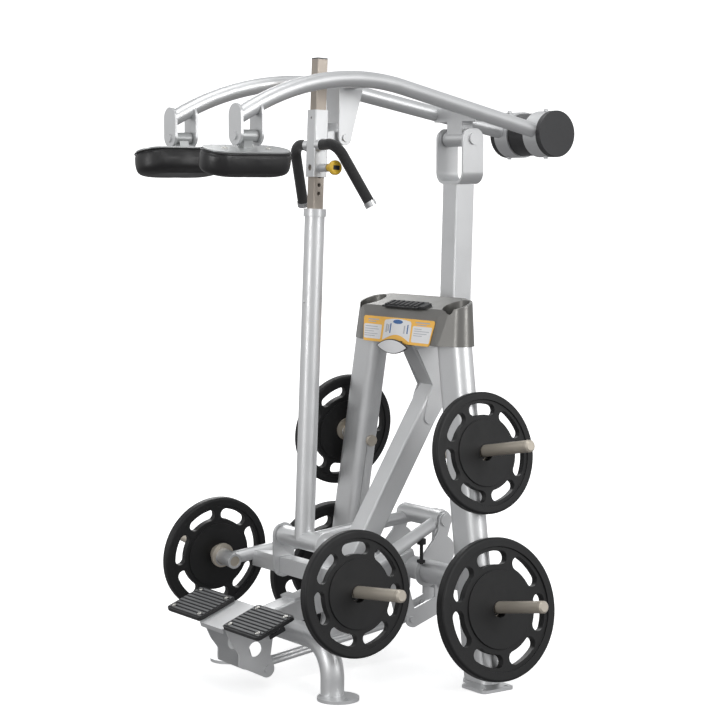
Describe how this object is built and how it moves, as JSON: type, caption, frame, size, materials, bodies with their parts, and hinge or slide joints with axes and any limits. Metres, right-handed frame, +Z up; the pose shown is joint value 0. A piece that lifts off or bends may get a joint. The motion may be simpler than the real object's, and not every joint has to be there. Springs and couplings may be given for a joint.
{
  "type": "plate-loaded calf and squat machine",
  "caption": "Standing plate-loaded leg machine: shoulder-pad yoke with counterweight, height column, lifting weight arm, rocking foot platform, console and storage horns.",
  "frame": {"origin": "centre of the bounding box on the floor plane", "axes": "+Z up, +Y from the user towards the counterweight, X across the machine"},
  "size_m": [1.4114, 1.501, 1.9668],
  "materials": {
    "frame_paint": "satin metallic powder coat",
    "steel_bright": "polished nickel",
    "chrome_parts": "bright chrome",
    "dark_steel": "black painted steel",
    "plate_iron": "matt black coated iron",
    "foam_grip": "matt closed-cell foam",
    "black_rubber": "matt moulded rubber",
    "pad_vinyl": "semi-gloss black vinyl",
    "console_plastic": "satin moulded plastic",
    "cap_plastic": "satin moulded plastic",
    "knob_yellow": "gloss moulded plastic",
    "placard_print": "printed plastic panel"
  },
  "bodies": {
    "frame": {"front_foot_arch": "frame_paint", "floor_feet": "frame_paint", "base_beam": "frame_paint", "rear_cross_tube": "frame_paint", "post_left": "frame_paint", "post_right": "frame_paint", "mast": "frame_paint", "diagonal_brace": "frame_paint", "console_strut": "frame_paint", "mast_u_bracket": "frame_paint", "pivot_brackets": "frame_paint", "lift_axle": "steel_bright", "bumper_stops": "black_rubber", "storage_horns_left": "steel_bright", "storage_horns_right": "steel_bright", "console_tray": "console_plastic", "placard": "placard_print", "console_mat": "black_rubber"},
    "weight_arm": {"arm_pivot_tube": "frame_paint", "arm_tube_left": "frame_paint", "arm_tube_right": "frame_paint", "arm_cross_box": "frame_paint", "arm_ears": "frame_paint", "front_horn_left": "steel_bright", "front_horn_right": "steel_bright", "column_axle": "steel_bright"},
    "column": {"column_post": "frame_paint", "inner_tube": "steel_bright", "inner_tube_cap": "cap_plastic"},
    "sleeve": {"adjust_sleeve": "frame_paint", "handle_bars": "chrome_parts", "grip_left": "foam_grip", "grip_right": "foam_grip"},
    "pop_pin": {"pop_pin": "knob_yellow"},
    "yoke_shaft": {"yoke_axle": "steel_bright"},
    "yoke": {"yoke_arm_left": "frame_paint", "yoke_arm_right": "frame_paint", "yoke_crossbar": "frame_paint", "yoke_front_bracket": "frame_paint", "counterweight_core": "dark_steel", "counterweight_bands": "frame_paint", "counterweight_caps": "dark_steel", "pad_hangers": "frame_paint"},
    "pad_left": {"pad_mount_left": "frame_paint", "shoulder_pad_left": "pad_vinyl"},
    "pad_right": {"pad_mount_right": "frame_paint", "shoulder_pad_right": "pad_vinyl"},
    "platform": {"platform_cheeks": "frame_paint", "platform_deck": "frame_paint", "foot_pad_left": "black_rubber", "foot_pad_right": "black_rubber"},
    "push_rods": {"push_rods": "frame_paint"},
    "rocker": {"rocker": "frame_paint"},
    "drive_link": {"drive_link": "frame_paint"},
    "plate_low_left": {"plate_low_left": "plate_iron"},
    "plate_low_right": {"plate_low_right": "plate_iron"},
    "plate_high_left": {"plate_high_left": "plate_iron"},
    "plate_high_right": {"plate_high_right": "plate_iron"},
    "plate_front_left": {"plate_front_left": "plate_iron"},
    "plate_front_right": {"plate_front_right": "plate_iron"}
  },
  "joints": [
    {"name": "lift", "type": "hinge", "parent": "frame", "child": "weight_arm", "pos_m": [0, 0.218, 0.473], "axis": [-1, 0, 0], "range_deg": [0, 15]},
    {"name": "column_pivot", "type": "hinge", "parent": "weight_arm", "child": "column", "pos_m": [0, -0.26, 0.44], "axis": [-1, 0, 0], "range_deg": [-15, 0]},
    {"name": "height_adjust", "type": "slide", "parent": "column", "child": "sleeve", "axis": [0, 0.0414, 0.9991], "range_m": [-0.027, 0.027]},
    {"name": "pop_pin_pull", "type": "slide", "parent": "sleeve", "child": "pop_pin", "axis": [1, 0, 0], "range_m": [0, 0.008], "stiffness_N_per_m": 400, "springref_m": -0.02},
    {"name": "yoke_swing", "type": "hinge", "parent": "frame", "child": "yoke_shaft", "pos_m": [0, 0.363, 1.721], "axis": [-1, 0, 0], "range_deg": [-0.5, 15]},
    {"name": "yoke_adjust", "type": "hinge", "parent": "yoke_shaft", "child": "yoke", "pos_m": [0, 0.363, 1.721], "axis": [-1, 0, 0], "range_deg": [-3.4, 3.4]},
    {"name": "pad_roll_left", "type": "hinge", "parent": "yoke", "child": "pad_left", "pos_m": [-0.193, -0.5905, 1.713], "axis": [0, 1, 0], "range_deg": [-12, 12]},
    {"name": "pad_roll_right", "type": "hinge", "parent": "yoke", "child": "pad_right", "pos_m": [0.193, -0.5905, 1.713], "axis": [0, 1, 0], "range_deg": [-12, 12]},
    {"name": "platform_tilt", "type": "hinge", "parent": "frame", "child": "platform", "pos_m": [0, -0.479, 0.1783], "axis": [-1, 0, 0], "range_deg": [0, 6.2]},
    {"name": "push_rod_pivot", "type": "hinge", "parent": "platform", "child": "push_rods", "pos_m": [0, -0.444, 0.0585], "axis": [-1, 0, 0], "range_deg": [-6.2, 0]},
    {"name": "rocker_pivot", "type": "hinge", "parent": "frame", "child": "rocker", "pos_m": [0, 0.109, 0.2568], "axis": [-1, 0, 0], "range_deg": [0, 6.2]},
    {"name": "drive_link_pivot", "type": "hinge", "parent": "rocker", "child": "drive_link", "pos_m": [0, 0.262, 0.24], "axis": [-1, 0, 0], "range_deg": [-6.2, 0]},
    {"name": "plate_low_left_pull", "type": "slide", "parent": "frame", "child": "plate_low_left", "axis": [-0.9847, 0, 0.1743], "range_m": [0, 0.27]},
    {"name": "plate_low_right_pull", "type": "slide", "parent": "frame", "child": "plate_low_right", "axis": [0.9847, 0, 0.1743], "range_m": [0, 0.27]},
    {"name": "plate_high_left_pull", "type": "slide", "parent": "frame", "child": "plate_high_left", "axis": [-0.9847, 0, 0.1743], "range_m": [0, 0.27]},
    {"name": "plate_high_right_pull", "type": "slide", "parent": "frame", "child": "plate_high_right", "axis": [0.9847, 0, 0.1743], "range_m": [0, 0.27]},
    {"name": "plate_front_left_pull", "type": "slide", "parent": "weight_arm", "child": "plate_front_left", "axis": [-0.994, 0, 0.1097], "range_m": [0, 0.27]},
    {"name": "plate_front_right_pull", "type": "slide", "parent": "weight_arm", "child": "plate_front_right", "axis": [0.994, 0, 0.1097], "range_m": [0, 0.27]}
  ],
  "couplings": [
    {"joint": "column_pivot", "follows": "lift", "ratio": -0.9761},
    {"joint": "yoke_swing", "follows": "lift", "ratio": 0.9811},
    {"joint": "platform_tilt", "follows": "lift", "ratio": 0.4},
    {"joint": "push_rod_pivot", "follows": "lift", "ratio": -0.4},
    {"joint": "rocker_pivot", "follows": "lift", "ratio": 0.4},
    {"joint": "drive_link_pivot", "follows": "lift", "ratio": -0.391},
    {"joint": "yoke_adjust", "follows": "height_adjust", "rad_per_m": 2.017}
  ]
}
